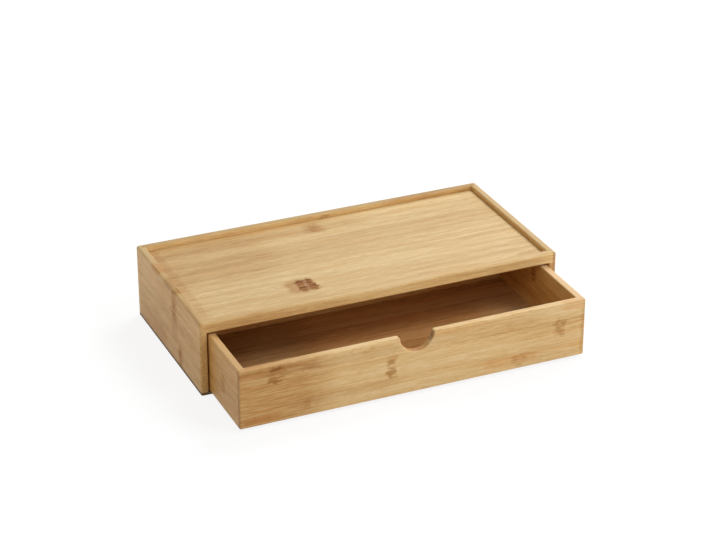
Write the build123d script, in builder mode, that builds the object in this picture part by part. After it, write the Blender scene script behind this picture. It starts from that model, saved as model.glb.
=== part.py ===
from build123d import *
import os

# A low bamboo storage box: a casing with a rimmed tray on top, and one drawer with a finger notch.
# The origin is the centre of the casing's underside. X runs to the right as seen from the front,
# the front faces -Y and Z points up. Sizes are in millimetres. The drawer stands open by pull_out.

os.makedirs("parts", exist_ok=True)

# Casing: outside sizes and boards
casing_width = 300.0
casing_depth = 145.0
casing_height = 61.5
side_board = 6.0
back_board = 6.0
rail_board = 6.0
rail_height = 9.2
rim_height = 4.0
tray_thickness = 5.0
tongue_thickness = 2.5
base_thickness = 2.5

# Drawer: boards, bottom and how far it stands open
drawer_front_board = 6.0
drawer_side_board = 6.0
drawer_back_board = 6.0
drawer_bottom_thickness = 3.0
drawer_bottom_lift = 3.0
pull_out = 62.0

# Finger notch in the middle of the drawer front
notch_radius = 14.0
lip_radius = 2.0
mouth_width = 2 * (notch_radius + 2 * lip_radius)

# Joints: rebates, housings and grooves share one depth. Loose panels have play in their grooves,
# and the tray's shoulders stand clear of the walls by a hairline.
joint_depth = 3.0
panel_play = 0.3
shoulder_gap = 0.2

# Running clearances round the drawer
side_gap = 1.0
under_gap = 0.3
top_gap = 1.5
rear_gap = 1.0

# Sanded edges, softest where a hand meets them
corner_radius = 1.5
rim_radius = 2.0
rim_inner_radius = 1.2
opening_radius = 1.2
drawer_edge_radius = 1.2
arris_radius = 0.5

# Places on the casing that follow from its sizes
front_y = -casing_depth / 2
back_y = casing_depth / 2
inner_front_y = front_y + rail_board
inner_back_y = back_y - back_board
inner_middle_y = (inner_front_y + inner_back_y) / 2
inner_width = casing_width - 2 * side_board
inner_depth = inner_back_y - inner_front_y
wall_height = casing_height - base_thickness
opening_top = casing_height - rail_height
opening_height = opening_top - base_thickness
tray_underside = casing_height - rim_height - tray_thickness
tongue_underside = tray_underside + (tray_thickness - tongue_thickness) / 2
seat_width = inner_width + 2 * joint_depth
seat_depth = inner_depth + 2 * joint_depth

# Sizes and places of the drawer, fitted to the opening
drawer_width = inner_width - 2 * side_gap
drawer_depth = inner_back_y - front_y - rear_gap
drawer_height = opening_height - under_gap - top_gap
drawer_underside = base_thickness + under_gap
drawer_top = drawer_underside + drawer_height
drawer_front_y = front_y - pull_out
drawer_back_y = drawer_front_y + drawer_depth
drawer_middle_y = (drawer_front_y + drawer_back_y) / 2
hollow_front_y = drawer_front_y + drawer_front_board
hollow_back_y = drawer_back_y - drawer_back_board
hollow_middle_y = (hollow_front_y + hollow_back_y) / 2
hollow_width = drawer_width - 2 * drawer_side_board
hollow_depth = hollow_back_y - hollow_front_y
bottom_underside = drawer_underside + drawer_bottom_lift
bottom_seat_width = hollow_width + 2 * joint_depth
bottom_seat_depth = hollow_depth + 2 * joint_depth

# How boxes stand on the point they are placed at
standing = (Align.CENTER, Align.CENTER, Align.MIN)
standing_behind = (Align.CENTER, Align.MIN, Align.MIN)
standing_in_front = (Align.CENTER, Align.MAX, Align.MIN)
standing_right = (Align.MIN, Align.CENTER, Align.MIN)

# Casing walls as they are once glued and sanded: a rounded ring, open under the front rail.
# Each casing board is cut from this form.
with BuildPart() as casing_form:
    with BuildSketch(Plane.XY.offset(base_thickness)):
        RectangleRounded(casing_width, casing_depth, corner_radius)
        with Locations((0, inner_middle_y)):
            Rectangle(inner_width, inner_depth, mode=Mode.SUBTRACT)
    extrude(amount=wall_height)
    with Locations((0, front_y, base_thickness)):
        Box(inner_width, rail_board, opening_height, align=standing_behind, mode=Mode.SUBTRACT)
    rim = casing_form.faces().sort_by(Axis.Z)[-1]
    fillet(rim.outer_wire().edges(), rim_radius)
    rim = casing_form.faces().sort_by(Axis.Z)[-1]
    fillet(rim.inner_wires()[0].edges(), rim_inner_radius)
    front_face = casing_form.faces().filter_by(Plane.XZ).sort_by(Axis.Y)[0]
    opening_edges = front_face.edges().filter_by(
        lambda edge: edge.center().Z < opening_top + opening_radius
        and edge.center().Z > base_thickness
        and abs(edge.center().X) < inner_width / 2 + opening_radius
    )
    fillet(opening_edges, opening_radius)

# Left side: housed for the rail at its front, rebated for the back, grooved for the tray
with BuildPart() as left_side:
    add(casing_form.part)
    with Locations((-casing_width / 2, 0, base_thickness)):
        Box(side_board, casing_depth, wall_height, align=standing_right, mode=Mode.INTERSECT)
    with Locations((0, front_y, opening_top)):
        Box(seat_width, rail_board, rail_height, align=standing_behind, mode=Mode.SUBTRACT)
    with Locations((0, back_y, base_thickness)):
        Box(seat_width, back_board, wall_height, align=standing_in_front, mode=Mode.SUBTRACT)
    with Locations((0, inner_middle_y, tongue_underside)):
        Box(seat_width, seat_depth, tongue_thickness, align=standing, mode=Mode.SUBTRACT)
left_side.part.label = "left_side"
export_step(left_side.part, "parts/left_side.step")

# Right side: the left side mirrored
with BuildPart() as right_side:
    mirror(left_side.part, about=Plane.YZ)
right_side.part.label = "right_side"
export_step(right_side.part, "parts/right_side.step")

# Back panel: stands in the sides' rebates
with BuildPart() as back_panel:
    add(casing_form.part)
    with Locations((0, back_y, base_thickness)):
        Box(seat_width, back_board, wall_height, align=standing_in_front, mode=Mode.INTERSECT)
    with Locations((0, inner_middle_y, tongue_underside)):
        Box(seat_width, seat_depth, tongue_thickness, align=standing, mode=Mode.SUBTRACT)
back_panel.part.label = "back_panel"
export_step(back_panel.part, "parts/back_panel.step")

# Front rail: closes the rim above the drawer and ends in the sides' housings
with BuildPart() as front_rail:
    add(casing_form.part)
    with Locations((0, front_y, opening_top)):
        Box(seat_width, rail_board, rail_height, align=standing_behind, mode=Mode.INTERSECT)
    with Locations((0, inner_middle_y, tongue_underside)):
        Box(seat_width, seat_depth, tongue_thickness, align=standing, mode=Mode.SUBTRACT)
front_rail.part.label = "front_rail"
export_step(front_rail.part, "parts/front_rail.step")

# Tray panel: its field lies inside the walls below the rim, and its tongue runs in their grooves
with BuildPart() as tray_panel:
    with BuildSketch(Plane.XY.offset(tray_underside)):
        with Locations((0, inner_middle_y)):
            Rectangle(inner_width - 2 * shoulder_gap, inner_depth - 2 * shoulder_gap)
    extrude(amount=tray_thickness)
    with BuildSketch(Plane.XY.offset(tongue_underside)):
        with Locations((0, inner_middle_y)):
            Rectangle(seat_width - 2 * panel_play, seat_depth - 2 * panel_play)
    extrude(amount=tongue_thickness)
tray_panel.part.label = "tray_panel"
export_step(tray_panel.part, "parts/tray_panel.step")

# Base panel: a thin board under the sides and the back, on which the drawer slides
with BuildPart() as base_panel:
    with BuildSketch():
        RectangleRounded(casing_width, casing_depth, corner_radius)
    extrude(amount=base_thickness)
    fillet(base_panel.faces().sort_by(Axis.Z)[0].edges(), arris_radius)
base_panel.part.label = "base_panel"
export_step(base_panel.part, "parts/base_panel.step")

# Drawer walls as they are once glued and sanded, with the finger notch cut through the front.
# The notch is a half circle whose lips turn over into the top edge. Each drawer wall is cut
# from this form.
with BuildPart() as drawer_form:
    with BuildSketch(Plane.XY.offset(drawer_underside)):
        with Locations((0, drawer_middle_y)):
            RectangleRounded(drawer_width, drawer_depth, corner_radius)
        with Locations((0, hollow_middle_y)):
            Rectangle(hollow_width, hollow_depth, mode=Mode.SUBTRACT)
    extrude(amount=drawer_height)
    with BuildSketch(Plane.XZ.offset(-drawer_front_y)) as notch:
        with Locations((0, drawer_top)):
            Circle(notch_radius)
            Rectangle(mouth_width, notch_radius, align=(Align.CENTER, Align.MIN))
        fillet(notch.vertices().sort_by_distance((0, drawer_top))[:2], lip_radius)
    extrude(amount=-drawer_front_board, mode=Mode.SUBTRACT)
    notch_faces = drawer_form.faces().filter_by(GeomType.CYLINDER).filter_by(
        lambda face: abs(face.center().X) < hollow_width / 2
    )
    notch_edges = notch_faces.edges()
    top_edges = drawer_form.faces().sort_by(Axis.Z)[-1].edges()
    sanded_edges = top_edges.filter_by(lambda edge: edge not in notch_edges)
    fillet(sanded_edges + notch_edges.filter_by(GeomType.CIRCLE), drawer_edge_radius)
    underside = drawer_form.faces().sort_by(Axis.Z)[0]
    fillet(underside.outer_wire().edges(), arris_radius)

# Drawer front: rebated at both ends over the sides, grooved for the bottom
with BuildPart() as drawer_front:
    add(drawer_form.part)
    with Locations((0, drawer_front_y, drawer_underside)):
        Box(drawer_width, drawer_front_board, drawer_height, align=standing_behind, mode=Mode.INTERSECT)
    with Locations((0, hollow_middle_y, drawer_underside)):
        with GridLocations(hollow_width + drawer_side_board, 0, 2, 1):
            Box(drawer_side_board, bottom_seat_depth, drawer_height, align=standing, mode=Mode.SUBTRACT)
    with Locations((0, hollow_middle_y, bottom_underside)):
        Box(hollow_width, bottom_seat_depth, drawer_bottom_thickness, align=standing, mode=Mode.SUBTRACT)
drawer_front.part.label = "drawer_front"
export_step(drawer_front.part, "parts/drawer_front.step")

# Drawer back: rebated and grooved as the front is
with BuildPart() as drawer_back:
    add(drawer_form.part)
    with Locations((0, drawer_back_y, drawer_underside)):
        Box(drawer_width, drawer_back_board, drawer_height, align=standing_in_front, mode=Mode.INTERSECT)
    with Locations((0, hollow_middle_y, drawer_underside)):
        with GridLocations(hollow_width + drawer_side_board, 0, 2, 1):
            Box(drawer_side_board, bottom_seat_depth, drawer_height, align=standing, mode=Mode.SUBTRACT)
    with Locations((0, hollow_middle_y, bottom_underside)):
        Box(hollow_width, bottom_seat_depth, drawer_bottom_thickness, align=standing, mode=Mode.SUBTRACT)
drawer_back.part.label = "drawer_back"
export_step(drawer_back.part, "parts/drawer_back.step")

# Drawer's left side: runs between the laps of the front and the back, grooved for the bottom
with BuildPart() as drawer_left_side:
    add(drawer_form.part)
    with Locations((-drawer_width / 2, hollow_middle_y, drawer_underside)):
        Box(drawer_side_board, bottom_seat_depth, drawer_height, align=standing_right, mode=Mode.INTERSECT)
    with Locations((0, hollow_middle_y, bottom_underside)):
        Box(bottom_seat_width, bottom_seat_depth, drawer_bottom_thickness, align=standing, mode=Mode.SUBTRACT)
drawer_left_side.part.label = "drawer_left_side"
export_step(drawer_left_side.part, "parts/drawer_left_side.step")

# Drawer's right side: the left one mirrored
with BuildPart() as drawer_right_side:
    mirror(drawer_left_side.part, about=Plane.YZ)
drawer_right_side.part.label = "drawer_right_side"
export_step(drawer_right_side.part, "parts/drawer_right_side.step")

# Drawer bottom: lies in the grooves of all four drawer walls
with BuildPart() as drawer_bottom:
    with BuildSketch(Plane.XY.offset(bottom_underside)):
        with Locations((0, hollow_middle_y)):
            Rectangle(bottom_seat_width - 2 * panel_play, bottom_seat_depth - 2 * panel_play)
    extrude(amount=drawer_bottom_thickness)
drawer_bottom.part.label = "drawer_bottom"
export_step(drawer_bottom.part, "parts/drawer_bottom.step")
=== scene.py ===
import bpy
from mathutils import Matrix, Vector

# A low bamboo storage box with a tray top and one drawer, open by 62 mm. Every board of it is a
# CAD solid with its own shape and edges, so this script gives the boards their bamboo and sets
# the floor, the light and the camera.

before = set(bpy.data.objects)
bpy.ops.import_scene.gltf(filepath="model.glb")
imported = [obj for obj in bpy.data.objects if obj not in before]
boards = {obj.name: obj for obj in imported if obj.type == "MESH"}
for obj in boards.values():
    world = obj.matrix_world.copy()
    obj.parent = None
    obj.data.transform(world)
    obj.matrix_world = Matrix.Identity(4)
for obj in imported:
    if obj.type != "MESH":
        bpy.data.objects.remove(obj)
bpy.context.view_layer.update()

X, Y, Z = 0, 1, 2
MM_PER_METRE = 1000.0
WHITE = (1.0, 1.0, 1.0, 1.0)

# A colour Mix node takes its colours at inputs 6 and 7 and gives the result at output 2. A tint
# multiplies the colour under it, and a blend goes over to the second colour.
TINT = {"out": 2, "data_type": "RGBA", "blend_type": "MULTIPLY"}
BLEND = {"out": 2, "data_type": "RGBA"}
SOFT = {"interpolation_type": "SMOOTHSTEP"}


def linear(hex_colour):
    """sRGB hex to linear: c / 12.92 below 0.04045, else ((c + 0.055) / 1.055) to the power 2.4."""
    channels = [int(hex_colour[i:i + 2], 16) / 255 for i in (1, 3, 5)]
    return [c / 12.92 if c < 0.04045 else ((c + 0.055) / 1.055) ** 2.4 for c in channels] + [1.0]


def add(tree, kind, inputs, out=0, **settings):
    """Adds one node with its settings, sets or joins its inputs, and gives back one of its outputs."""
    node = tree.nodes.new(kind)
    for setting, value in settings.items():
        setattr(node, setting, value)
    for socket, value in inputs.items():
        if isinstance(value, bpy.types.NodeSocket):
            tree.links.new(value, node.inputs[socket])
        else:
            node.inputs[socket].default_value = value
    return node.outputs[out] if node.outputs else None


def emptied(owner):
    """Switches on the nodes of a material or world, and gives back its tree with nothing in it."""
    owner.use_nodes = True
    owner.node_tree.nodes.clear()
    return owner.node_tree


# Lacquered bamboo: boards pressed from strips of cane, sanded and given a satin lacquer. The eye
# gets fine fibres along the board, strips of slightly different honey tones, and brown knuckles.
# Real sizes are in millimetres, along and across the cane. Bundles of fibres are half a millimetre
# wide and lie in streaks, and the cane's own tone changes in wider bands. The fibres wander by a
# millimetre or so over a hand's width. In a knuckle they are cut to short dark dashes. The glue
# between two strips is a thin line that fades out within GLUE_LINE on each side, and at the ends
# of a board the bundles show as small spots.
STRIP = 20.0
FIBRE = (6.0, 0.5)
STREAK = (20.0, 1.2)
BAND = (120.0, 6.0)
DASH = (6.0, 2.6)
WANDER = (85.0, 22.0)
WANDER_REACH = 3.5
GLUE_LINE = 0.35
END_BUNDLE = 1 / 1.3

# Each strip's fibres come from their own place in the pattern of the cane, up to this far off
NEXT_CANE = (900.0, 300.0, 0.0)

# Outlines of knuckles and patches are ragged: lumps of this size move them by up to half the reach
LUMP = 1 / 0.24
RAGGED = (10.0, 4.0)

# The tone of a spot of cane is the start and a share of its strip, band, streak and fibre. Each
# layer is its size, the noise's detail and its share, and its finer noise is weaker each time by
# FINER. The three tones of a board lie at TONE_STOPS.
FINER = 0.55
TONE_START = -0.56
STRIP_SHARE = 0.2
LAYERS = ((BAND, 2.0, 0.65), (STREAK, 3.0, 0.7), (FIBRE, 2.0, 0.57))
TONE_STOPS = (0.18, 0.5, 0.8)

# How far a long edge goes over to its own colour, a glue line to the glue's tint, and the spots
# of end grain to brown. In pale streaks a patch keeps only this share of its tint.
EDGE_SHARE = 0.55
GLUE_SHARE = 0.45
SPOT_SHARE = 0.95
PATCH_IN_PALE = 0.75

# Roughness of the lacquer over dark and pale streaks, and how much rougher it is on end grain and
# where a knuckle has drunk it in. The fibres stand up by a fraction of RELIEF_DEPTH, in metres,
# streaks add their share to that, and the glue line is sunk.
SATIN = (0.52, 0.4)
ROUGHER_END = 0.2
ROUGHER_KNUCKLE = 0.3
LACQUER_IOR = 1.5
LACQUER_SPECULAR = 0.35
RELIEF_DEPTH = 0.00015
RELIEF_STRENGTH = 0.35
STREAK_RELIEF = 0.6
GLUE_RELIEF = -0.5

# Tints that turn the cane brown, yellowish brown, dark brown, orange and grey in places, some of
# them used as painted shade or painted light, and those of its warmer bands, its glue lines and the
# painted shade on the floor of a notch
BROWN, UMBER, DARK, ORANGE, ASH = "#DCC5A2", "#DFC580", "#CEB589", "#F0C48E", "#C4BEB8"
WARM, GLUE, NOTCH_SHADE = "#FFF4E8", "#C9A070", "#D8BE9E"

# A knuckle's two tints. Each grows from its least strength, the third number, to full strength as
# the noise of the dashes goes from the first number to the second.
KNUCKLE_TINTS = ((0.35, 0.6, 0.5, BROWN), (0.45, 0.68, 0.0, DARK))


def bamboo(name, lie, first_strip, tones, seed, knuckles=(), patches=(), edge=None, ends=None,
           notch=None):
    """Bamboo for one board, on its Object coordinates. lie gives the axes along the cane, over the
    strips' width and through the board, and a strip starts at first_strip. tones are its brown,
    honey and pale colours. A knuckle is (along, across, half length, half width, strength) in mm,
    and a patch, a tint on the cane in one place, is the same after that tint; some patches are
    painted shade or painted light. edge is the colour that the board's long narrow edges, mostly
    its tops, tend to: partly the side of the cane, partly painted light on some boards and painted
    shade on others, setting how bright these tops look. ends are the pale and brown colours of its
    end grain, where these aren't those of its tones. notch is where a notch is cut through the
    board, given as a knuckle is, and where painted shade darkens the notch's floor."""
    grain, across, through = lie
    material = bpy.data.materials.new(name)
    tree = emptied(material)

    # place is in millimetres, along, across and through the board
    place = add(tree, "ShaderNodeTexCoord", {}, "Object")
    place = add(tree, "ShaderNodeVectorMath", {0: place, "Scale": MM_PER_METRE}, operation="SCALE")
    axes = add(tree, "ShaderNodeSeparateXYZ", {0: place}).node.outputs
    place = add(tree, "ShaderNodeCombineXYZ", {0: axes[grain], 1: axes[across], 2: axes[through]})

    lumps = add(tree, "ShaderNodeTexNoise", {
        "Vector": place, "Scale": 1 / LUMP, "Detail": 3.0, "Roughness": 0.65}, "Color")
    ragged = add(tree, "ShaderNodeVectorMath", {0: lumps, 1: (*RAGGED, 0.0), 2: place},
                 operation="MULTIPLY_ADD")

    def spot(u, v, half_u, half_v, strength):
        """A soft rectangle round (u, v). near is the root of the sum of the fourth powers of the
        two distances, each over its half size. The strength is full below 0.5 and none over 1.4."""
        near = add(tree, "ShaderNodeVectorMath", {
            0: ragged, 1: (1 / half_u, 1 / half_v, 0.0),
            2: (-(u + RAGGED[0] / 2) / half_u, -(v + RAGGED[1] / 2) / half_v, 0.0)},
            operation="MULTIPLY_ADD")
        near = add(tree, "ShaderNodeVectorMath", {0: near, 1: near}, operation="MULTIPLY")
        near = add(tree, "ShaderNodeVectorMath", {0: near}, "Value", operation="LENGTH")
        return add(tree, "ShaderNodeMapRange", {
            "Value": near, "From Min": 1.4, "From Max": 0.5, "To Max": strength}, **SOFT)

    def grown(where, size, detail, roughness):
        """Noise as long and wide as size, drawn out along the cane as its fibres are."""
        length, width = size
        pulled = add(tree, "ShaderNodeVectorMath", {
            0: where, 1: (1 / length, 1 / width, 1 / width)}, operation="MULTIPLY")
        return add(tree, "ShaderNodeTexNoise", {
            "Vector": pulled, "Scale": 1.0, "Detail": detail, "Roughness": roughness}, "Fac")

    knuckle = None
    for mark in knuckles:
        here = spot(*mark)
        knuckle = here if knuckle is None else add(
            tree, "ShaderNodeMath", {0: knuckle, 1: here}, operation="MAXIMUM")

    # each strip is another cane, with its own tone and its own stretch of fibres
    over = add(tree, "ShaderNodeSeparateXYZ", {0: place}, 1)
    over = add(tree, "ShaderNodeMath", {0: over, 1: 1 / STRIP, 2: seed - first_strip / STRIP},
               operation="MULTIPLY_ADD")
    strip = add(tree, "ShaderNodeMath", {0: over}, operation="FLOOR")
    strip = add(tree, "ShaderNodeTexWhiteNoise", {"W": strip}, noise_dimensions="1D")
    shift = add(tree, "ShaderNodeCombineXYZ", {0: strip, 1: strip})
    cane = add(tree, "ShaderNodeVectorMath", {0: shift, 1: NEXT_CANE, 2: place},
               operation="MULTIPLY_ADD")
    wander = add(tree, "ShaderNodeCombineXYZ", {1: grown(cane, WANDER, 1.0, 0.5)})
    cane = add(tree, "ShaderNodeVectorMath", {0: wander, 1: (0.0, WANDER_REACH, 0.0), 2: cane},
               operation="MULTIPLY_ADD")

    # bands, streaks and fibres make the tone, which runs through the three colours of the board
    tone = add(tree, "ShaderNodeMath", {0: strip, 1: STRIP_SHARE, 2: TONE_START},
               operation="MULTIPLY_ADD")
    grains = []
    for size, detail, share in LAYERS:
        layer = grown(cane, size, detail, FINER)
        tone = add(tree, "ShaderNodeMath", {0: layer, 1: share, 2: tone}, operation="MULTIPLY_ADD")
        grains.append(layer)
    band, streak, fibre = grains
    colour = add(tree, "ShaderNodeValToRGB", {0: tone}, "Color")
    stops = colour.node.color_ramp.elements
    stops.new(0.5)
    for stop, at, shade in zip(stops, TONE_STOPS, tones):
        stop.position = at
        stop.color = linear(shade)

    # here and there a band of the cane is warmer
    warm = add(tree, "ShaderNodeSeparateXYZ", {0: band.node.outputs["Color"]}, 1)
    warm = add(tree, "ShaderNodeMapRange", {"Value": warm, "From Min": 0.5, "From Max": 0.7}, **SOFT)
    colour = add(tree, "ShaderNodeMix", {0: warm, 6: colour, 7: linear(WARM)}, **TINT)

    # facing says how squarely the surface faces each axis, from 0 to 1
    facing = add(tree, "ShaderNodeTexCoord", {}, "Normal")
    facing = add(tree, "ShaderNodeVectorMath", {0: facing}, operation="ABSOLUTE")
    facing = add(tree, "ShaderNodeSeparateXYZ", {0: facing}).node.outputs

    # the long edges, mostly the tops, go over to the edge colour: partly the side of the cane, partly
    # painted light and shade that set how bright these tops look
    if edge:
        side = add(tree, "ShaderNodeMapRange", {
            "Value": facing[across], "From Min": 0.3, "From Max": 0.95, "To Max": EDGE_SHARE}, **SOFT)
        colour = add(tree, "ShaderNodeMix", {0: side, 6: colour, 7: linear(edge)}, **BLEND)

    # a patch follows the streaks, so its outline feathers along the grain
    feather = add(tree, "ShaderNodeMapRange", {
        "Value": streak, "From Min": 0.35, "From Max": 0.62, "To Min": 1.0,
        "To Max": PATCH_IN_PALE})
    for tint, *mark in patches:
        here = add(tree, "ShaderNodeMath", {0: feather, 1: spot(*mark)}, operation="MULTIPLY")
        colour = add(tree, "ShaderNodeMix", {0: here, 6: colour, 7: linear(tint)}, **TINT)

    # a knuckle is brown all over, and darker in its dashes
    if knuckle:
        dashes = grown(cane, DASH, 0.5, 0.5)
        for low, high, least, tint in KNUCKLE_TINTS:
            cloud = add(tree, "ShaderNodeMapRange", {
                "Value": dashes, "From Min": low, "From Max": high, "To Min": least}, **SOFT)
            cloud = add(tree, "ShaderNodeMath", {0: cloud, 1: knuckle}, operation="MULTIPLY")
            colour = add(tree, "ShaderNodeMix", {0: cloud, 6: colour, 7: linear(tint)}, **TINT)

    # the glue line between two strips
    seam = add(tree, "ShaderNodeMath", {0: over}, operation="FRACT")
    seam = add(tree, "ShaderNodeMath", {0: seam, 1: 0.5}, operation="SUBTRACT")
    seam = add(tree, "ShaderNodeMath", {0: seam}, operation="ABSOLUTE")
    seam = add(tree, "ShaderNodeMapRange", {
        "Value": seam, "From Min": 0.5 - GLUE_LINE / STRIP, "From Max": 0.5, "To Max": GLUE_SHARE})
    colour = add(tree, "ShaderNodeMix", {0: seam, 6: colour, 7: linear(GLUE)}, **TINT)

    # the ends of the cane show its fibre bundles cut across, browner and rougher
    end = add(tree, "ShaderNodeMapRange", {
        "Value": facing[grain], "From Min": 0.7, "From Max": 0.98}, **SOFT)
    bundles = add(tree, "ShaderNodeTexNoise", {
        "Vector": place, "Scale": 1 / END_BUNDLE, "Detail": 1.0}, "Fac")
    bundles = add(tree, "ShaderNodeMapRange", {
        "Value": bundles, "From Min": 0.3, "From Max": 0.7, "To Max": SPOT_SHARE})
    pale, brown = ends or (tones[2], tones[0])
    cut = add(tree, "ShaderNodeMix", {0: bundles, 6: linear(pale), 7: linear(brown)}, **BLEND)
    colour = add(tree, "ShaderNodeMix", {0: end, 6: colour, 7: cut}, **BLEND)

    # painted shade: the floor of a notch, which doesn't face through the board, is made browner
    if notch:
        notch_shade = add(tree, "ShaderNodeMapRange", {
            "Value": facing[through], "From Min": 0.8, "From Max": 0.3}, **SOFT)
        notch_shade = add(tree, "ShaderNodeMath", {0: notch_shade, 1: spot(*notch)}, operation="MULTIPLY")
        colour = add(tree, "ShaderNodeMix", {0: notch_shade, 6: colour, 7: linear(NOTCH_SHADE)}, **TINT)

    rough = add(tree, "ShaderNodeMapRange", {
        "Value": streak, "From Min": 0.3, "From Max": 0.7, "To Min": SATIN[0], "To Max": SATIN[1]})
    rough = add(tree, "ShaderNodeMath", {0: end, 1: ROUGHER_END, 2: rough}, operation="MULTIPLY_ADD")
    if knuckle:
        rough = add(tree, "ShaderNodeMath", {0: knuckle, 1: ROUGHER_KNUCKLE, 2: rough},
                    operation="MULTIPLY_ADD")
    height = add(tree, "ShaderNodeMath", {0: streak, 1: STREAK_RELIEF, 2: fibre},
                 operation="MULTIPLY_ADD")
    height = add(tree, "ShaderNodeMath", {0: seam, 1: GLUE_RELIEF, 2: height},
                 operation="MULTIPLY_ADD")
    relief = add(tree, "ShaderNodeBump", {
        "Height": height, "Strength": RELIEF_STRENGTH, "Distance": RELIEF_DEPTH})
    surface = add(tree, "ShaderNodeBsdfPrincipled", {
        "Base Color": colour, "Roughness": rough, "Normal": relief, "IOR": LACQUER_IOR,
        "Specular IOR Level": LACQUER_SPECULAR})
    add(tree, "ShaderNodeOutputMaterial", {"Surface": surface})
    return material


# How a board lies: its axes along the cane, over the strips' width and through the board
FRONT_TO_BACK = (Y, Z, X)
LEFT_TO_RIGHT = (X, Z, Y)
LYING = (X, Y, Z)

# Brown, honey and pale tones of each board's cane
LEFT_TONES = ("#BD8D42", "#D5AA6A", "#E3C086")
RIGHT_TONES = ("#A87538", "#CFA15D", "#E0BC7E")
RAIL_TONES = ("#CC9F65", "#E9C586", "#F3DAAB")
TRAY_TONES = ("#BC955D", "#D0B07A", "#E4C996")
BASE_TONES = ("#574029", "#6D5033", "#7F6140")
DRAWER_FRONT_TONES = ("#B98850", "#D9B275", "#E6C998")
DRAWER_SIDE_TONES = ("#B5823F", "#CE9F5B", "#DDB675")
DRAWER_BACK_TONES = ("#C6985F", "#E2BE80", "#EED4A4")
DRAWER_BOTTOM_TONES = ("#A67B4C", "#D1A873", "#E0BC8A")

# Colours that the long edges, mostly the tops, tend to: partly the side of the cane, partly painted
# shade on the casing's tops and painted light on the drawer's, less of it on the drawer's left side
SIDE_EDGE = "#BCA579"
RAIL_EDGE = "#B3925F"
BACK_EDGE = "#89672E"
DRAWER_LEFT_EDGE = "#D5B483"
DRAWER_EDGE = "#EBCDA2"

# End grain of the right side, and of the drawer's front in its notch and at its laps, pale and brown
RIGHT_ENDS = ("#D8AE7A", "#A06C3C")
DRAWER_FRONT_ENDS = ("#C09766", "#8C6640")

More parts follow.
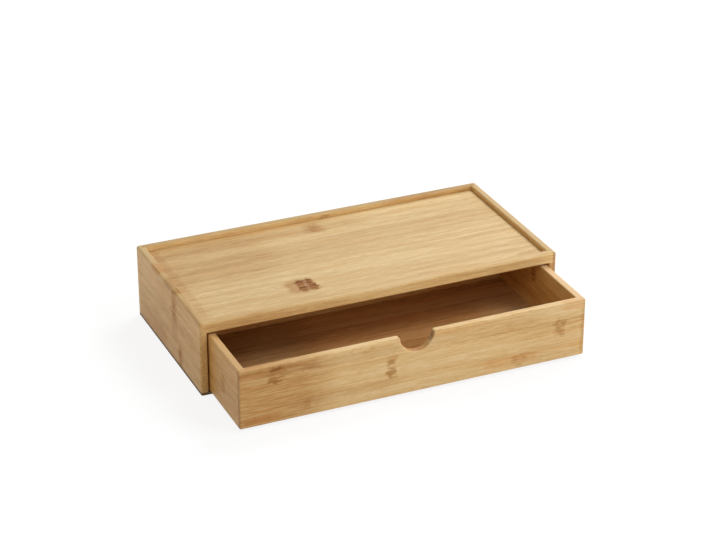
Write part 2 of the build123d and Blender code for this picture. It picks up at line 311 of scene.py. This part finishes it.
finishes = {
    "left_side": bamboo(
        "lacquered_bamboo_left_side", FRONT_TO_BACK, 2.0, LEFT_TONES, 11.0,
        knuckles=[(-15, 51, 4, 16, 0.4), (-26, 9, 3, 8, 0.5)],
        patches=[
            (UMBER, -70, 30, 100, 90, 0.42), (UMBER, -15, 42, 7, 24, 0.55),
            (UMBER, -27, 9, 6, 12, 0.6), (UMBER, 38, 11, 32, 8, 0.7),
            (ORANGE, 27, 61, 9, 3, 0.7), (BROWN, 0, 61, 9, 3, 0.7)],
        edge=SIDE_EDGE),
    "right_side": bamboo(
        "lacquered_bamboo_right_side", FRONT_TO_BACK, 2.0, RIGHT_TONES, 23.0,
        knuckles=[(22, 12, 4, 9, 0.9), (-34, 51, 4, 8, 0.8)],
        # painted shade: this brown patch at the front end darkens the rounded front corner
        patches=[(BROWN, -74, 30, 4, 60, 0.7)],
        edge=SIDE_EDGE, ends=RIGHT_ENDS),
    "back_panel": bamboo(
        "lacquered_bamboo_back", LEFT_TO_RIGHT, 2.0, RAIL_TONES, 37.0,
        knuckles=[(-60, 12, 5, 9, 0.9), (95, 33, 5, 9, 0.9), (10, 52, 5, 8, 0.8)],
        patches=[(BROWN, 130, 44, 70, 60, 0.5)],
        edge=BACK_EDGE),
    "front_rail": bamboo(
        "lacquered_bamboo_rail", LEFT_TO_RIGHT, 44.0, RAIL_TONES, 41.0,
        patches=[(BROWN, -130, 55, 45, 8, 0.15)],
        edge=RAIL_EDGE),
    "tray_panel": bamboo(
        "lacquered_bamboo_tray", LYING, -47.0, TRAY_TONES, 53.0,
        knuckles=[(-53.5, -38, 3, 10.5, 1.0), (-45, -38, 3, 10.5, 1.0), (-5, 52, 5, 9, 0.35)],
        patches=[
            (BROWN, -54, -38, 12, 11, 1.0), (BROWN, -49, -38, 7, 9, 0.35),
            (DARK, -50, -33, 8, 4, 0.8), (DARK, -49, -43, 8, 4, 0.8),
            # the two broad brown patches at the back left, at -120 and -70, are partly painted shadow
            # of a brush and comb that stood on the tray, partly browner cane; the narrow one along the
            # left end is painted shade beside the left rim
            (BROWN, -6, 52, 9, 10, 0.5), (BROWN, -120, 30, 70, 44, 0.45),
            (BROWN, -70, 56, 110, 14, 0.35), (BROWN, -143, 0, 8, 90, 0.45),
            (BROWN, 133, -57, 9, 3, 0.6), (BROWN, 120, -12, 24, 3, 0.4)]),
    "base_panel": bamboo("plain_bamboo_base", LYING, -60.0, BASE_TONES, 61.0),
    "drawer_front": bamboo(
        "lacquered_bamboo_drawer_front", LEFT_TO_RIGHT, 17.0, DRAWER_FRONT_TONES, 73.0,
        knuckles=[
            (-114, 42, 6, 7, 0.7), (-90, 9, 3.5, 7, 0.2), (-21, 28, 4.5, 10, 0.6),
            (121, 30, 5, 8, 0.4), (86, 10, 6, 5, 0.35)],
        patches=[
            # painted shade: the broad brown patch over the left end darkens the front towards its
            # left, where less light falls
            (BROWN, -160, 28, 85, 34, 0.95), (BROWN, -114, 46, 36, 4, 0.5),
            (DARK, -94, 42.5, 16, 1.6, 0.5), (BROWN, -50, 43, 40, 4, 0.5),
            (BROWN, -60, 15, 45, 4, 0.45), (BROWN, 56, 43, 48, 6, 0.4),
            (ORANGE, 80, 11, 24, 4, 0.4), (ORANGE, -126, 8, 16, 3, 0.5),
            # painted shade: the narrow brown patch along the right end darkens the rounded corner
            (ORANGE, 140, 48, 18, 4, 0.4), (BROWN, 143, 24, 3.5, 26, 0.6),
            (ASH, 135, 25, 45, 40, 0.1)],
        # painted shade darkens the floor of the notch
        ends=DRAWER_FRONT_ENDS, notch=(0, 41, 10, 8, 1.0)),
    "drawer_back": bamboo(
        "lacquered_bamboo_drawer_back", LEFT_TO_RIGHT, 14.0, DRAWER_BACK_TONES, 83.0,
        knuckles=[(40, 24, 5, 9, 0.8)],
        edge=DRAWER_EDGE),
    "drawer_left_side": bamboo(
        "lacquered_bamboo_drawer_left", FRONT_TO_BACK, 17.0, DRAWER_SIDE_TONES, 97.0,
        knuckles=[(-101, 25, 4, 8, 0.35)],
        patches=[(UMBER, -103, 26, 80, 60, 0.22)],
        edge=DRAWER_LEFT_EDGE),
    "drawer_right_side": bamboo(
        "lacquered_bamboo_drawer_right", FRONT_TO_BACK, 17.0, DRAWER_SIDE_TONES, 103.0,
        knuckles=[(-60, 40, 4, 8, 0.8)],
        edge=DRAWER_EDGE),
    "drawer_bottom": bamboo(
        "plain_bamboo_drawer_bottom", LYING, -130.0, DRAWER_BOTTOM_TONES, 113.0,
        patches=[
            # painted shade and light: the two grey patches darken the back left of the floor, and the
            # orange patch paints warm light on the floor behind the notch
            (ASH, -125, -22, 85, 50, 0.7), (ASH, -135, -8, 50, 30, 0.5),
            (ORANGE, 20, -65, 90, 34, 0.6)]),
}
for name, finish in finishes.items():
    slots = boards[name].data.materials
    slots.clear()
    slots.append(finish)


def looked_at(tree):
    """1 for rays from the camera and for those that gloss or glass sends on, else 0."""
    rays = add(tree, "ShaderNodeLightPath", {}).node.outputs
    seen = add(tree, "ShaderNodeMath", {0: rays["Is Camera Ray"], 1: rays["Is Glossy Ray"]},
               operation="MAXIMUM")
    return add(tree, "ShaderNodeMath", {0: seen, 1: rays["Is Transmission Ray"]},
               operation="MAXIMUM")


# The floor is plain pale card. Where it is looked at, most of it glows by itself, which keeps it
# white round the box, and the rest is lit card, on which the box's soft shadow shows.
HALF_FLOOR = 6.0
FLOOR_LEVEL = -0.0002
GLOW = 1.1
LIT_SHARE = 0.22
floor_mesh = bpy.data.meshes.new("floor")
corners = [(-1, -1), (1, -1), (1, 1), (-1, 1)]
floor_mesh.from_pydata([(HALF_FLOOR * x, HALF_FLOOR * y, FLOOR_LEVEL) for x, y in corners], [],
                       [(0, 1, 2, 3)])
floor = bpy.data.objects.new("floor", floor_mesh)
bpy.context.collection.objects.link(floor)
card = bpy.data.materials.new("white_card_floor")
tree = emptied(card)
paper = add(tree, "ShaderNodeBsdfDiffuse", {"Color": linear("#E8E8E8")})
glow = add(tree, "ShaderNodeEmission", {"Color": WHITE, "Strength": GLOW})
lit = add(tree, "ShaderNodeMixShader", {0: LIT_SHARE, 1: glow, 2: paper})
both = add(tree, "ShaderNodeMixShader", {0: looked_at(tree), 1: paper, 2: lit})
add(tree, "ShaderNodeOutputMaterial", {"Surface": both})
floor_mesh.materials.append(card)

# The studio is white where it is looked at, and lights the box more weakly from all round
ROOM_LIGHT = 0.315
world = bpy.data.worlds.new("studio")
bpy.context.scene.world = world
tree = emptied(world)
room = add(tree, "ShaderNodeBackground", {"Color": WHITE, "Strength": ROOM_LIGHT})
white = add(tree, "ShaderNodeBackground", {"Color": WHITE, "Strength": 1.0})
both = add(tree, "ShaderNodeMixShader", {0: looked_at(tree), 1: room, 2: white})
add(tree, "ShaderNodeOutputWorld", {"Surface": both})


def stand(name, data, place, aim):
    """Puts a lamp or a camera at place, turned to aim, and gives back its object."""
    thing = bpy.data.objects.new(name, data)
    thing.location = place
    thing.rotation_euler = (Vector(aim) - Vector(place)).to_track_quat("-Z", "Y").to_euler()
    bpy.context.collection.objects.link(thing)
    return thing


# One large soft lamp high on the right and a little behind, two smaller ones in front on the
# right, and two weak ones on the left: place, aim, size in metres and watts
UNDER_BOX = (0.0, -0.03, 0.0)
IN_BOX = (0.0, -0.05, 0.03)
lamps = {
    "key": ((0.9, 0.65, 1.35), UNDER_BOX, 0.9, 17.0),
    "front_high": ((0.7, -0.7, 1.25), IN_BOX, 0.6, 7.8),
    "front_low": ((1.0, -1.3, 0.16), IN_BOX, 0.3, 5.0),
    "left_high": ((-0.9, -0.9, 1.0), IN_BOX, 0.5, 1.6),
    "left_low": ((-1.4, -0.1, 0.16), IN_BOX, 0.3, 1.6),
}
for name, (place, aim, size, watts) in lamps.items():
    lamp = bpy.data.lights.new(name, "AREA")
    lamp.shape = "SQUARE"
    lamp.size = size
    lamp.energy = watts
    stand(name, lamp, place, aim)

# The camera stands front left and looks down at 27 degrees, with a long lens in millimetres
EYE = (-0.63786, -1.47015, 0.85439)
TARGET = (0.042846, 0.072811, 0.0)
lens = bpy.data.cameras.new("camera")
lens.lens = 113.5
lens.sensor_width = 36.0
lens.sensor_fit = "HORIZONTAL"
lens.clip_start = 0.05
lens.clip_end = 50.0
bpy.context.scene.camera = stand("camera", lens, EYE, TARGET)
bpy.context.scene.view_settings.view_transform = "Standard"
